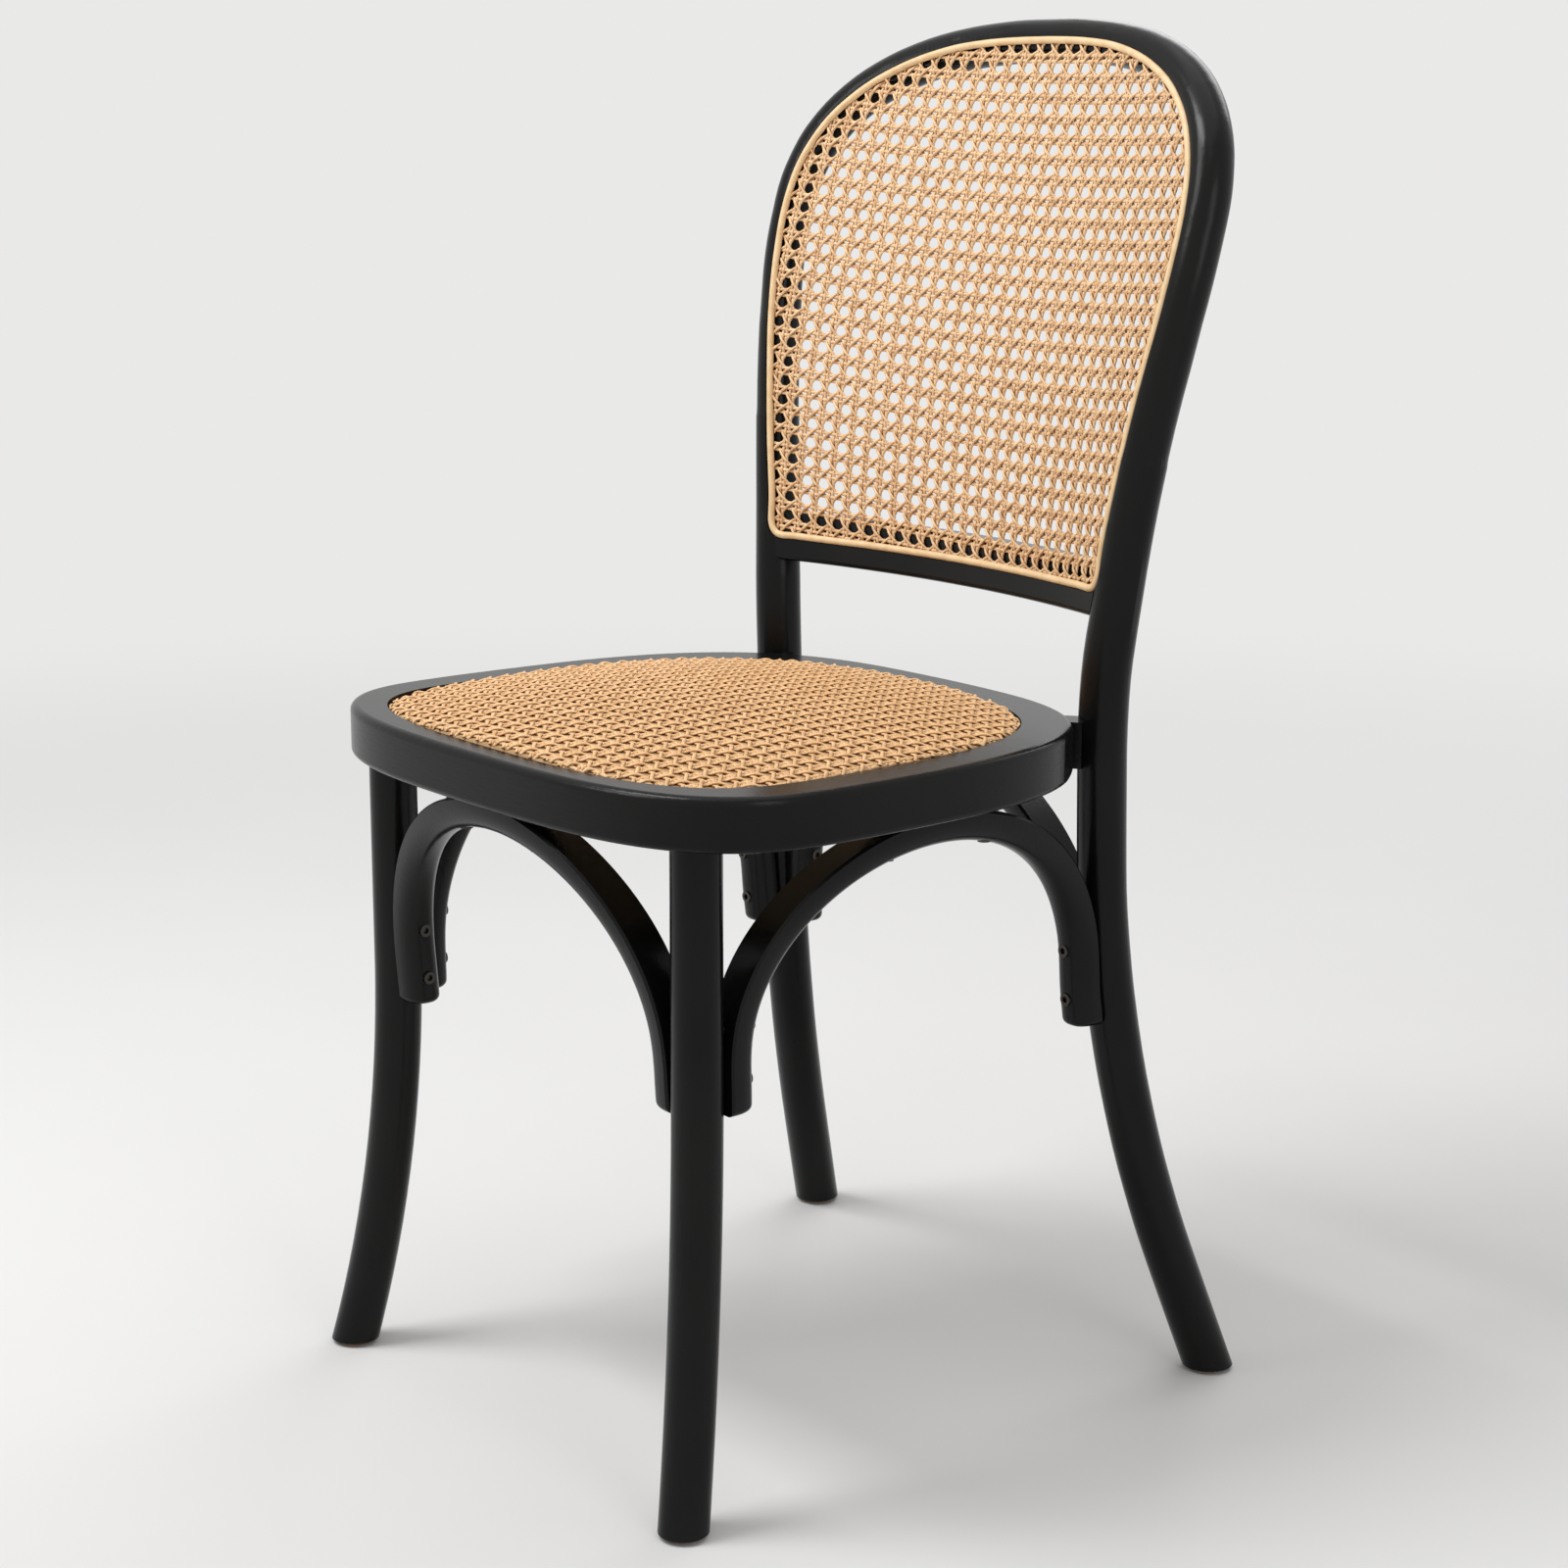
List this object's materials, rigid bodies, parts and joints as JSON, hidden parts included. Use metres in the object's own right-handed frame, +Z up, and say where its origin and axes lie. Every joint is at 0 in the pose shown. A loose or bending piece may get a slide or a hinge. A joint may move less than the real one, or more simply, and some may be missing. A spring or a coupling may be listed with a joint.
{
  "type": "cane chair",
  "caption": "Bentwood side chair with a rounded hoop back, cane back and seat, flared round legs and arched braces under the seat.",
  "frame": {"origin": "on the floor, at the middle of the chair's outline", "axes": "+Z up, -Y the front of the seat, +X to the right as seen from the front with the back behind"},
  "size_m": [0.4594, 0.5057, 0.9081],
  "materials": {
    "black_wood": "satin black lacquer",
    "dowel_wood": "plain beech",
    "board_wood": "plywood",
    "cane": "natural cane, woven",
    "cane_binding": "natural cane",
    "pad_foam": "padding",
    "screw_steel": "blackened steel",
    "glide": "tan plastic"
  },
  "bodies": {
    "root": {"back_hoop": "black_wood", "back_rail": "black_wood", "rail_dowel_left": "dowel_wood", "rail_dowel_right": "dowel_wood", "back_cane_binding": "cane_binding", "back_cane_panel": "cane", "arch_front": "black_wood", "arch_front_leg_screws": "screw_steel", "arch_front_seat_screws": "screw_steel", "arch_rear": "black_wood", "arch_rear_leg_screws": "screw_steel", "arch_rear_seat_screws": "screw_steel", "arch_left": "black_wood", "arch_left_leg_screws": "screw_steel", "arch_left_seat_screws": "screw_steel", "arch_right": "black_wood", "arch_right_leg_screws": "screw_steel", "arch_right_seat_screws": "screw_steel", "seat_ring": "black_wood", "stile_bolt_right": "screw_steel", "stile_washer_right": "screw_steel", "stile_bolt_left": "screw_steel", "stile_washer_left": "screw_steel", "seat_board": "board_wood", "seat_board_screws": "screw_steel", "seat_pad": "pad_foam", "seat_cane": "cane", "front_leg_right": "black_wood", "front_leg_left": "black_wood", "glide_rear_right": "glide", "glide_front_right": "glide", "glide_rear_left": "glide", "glide_front_left": "glide"}
  },
  "joints": []
}
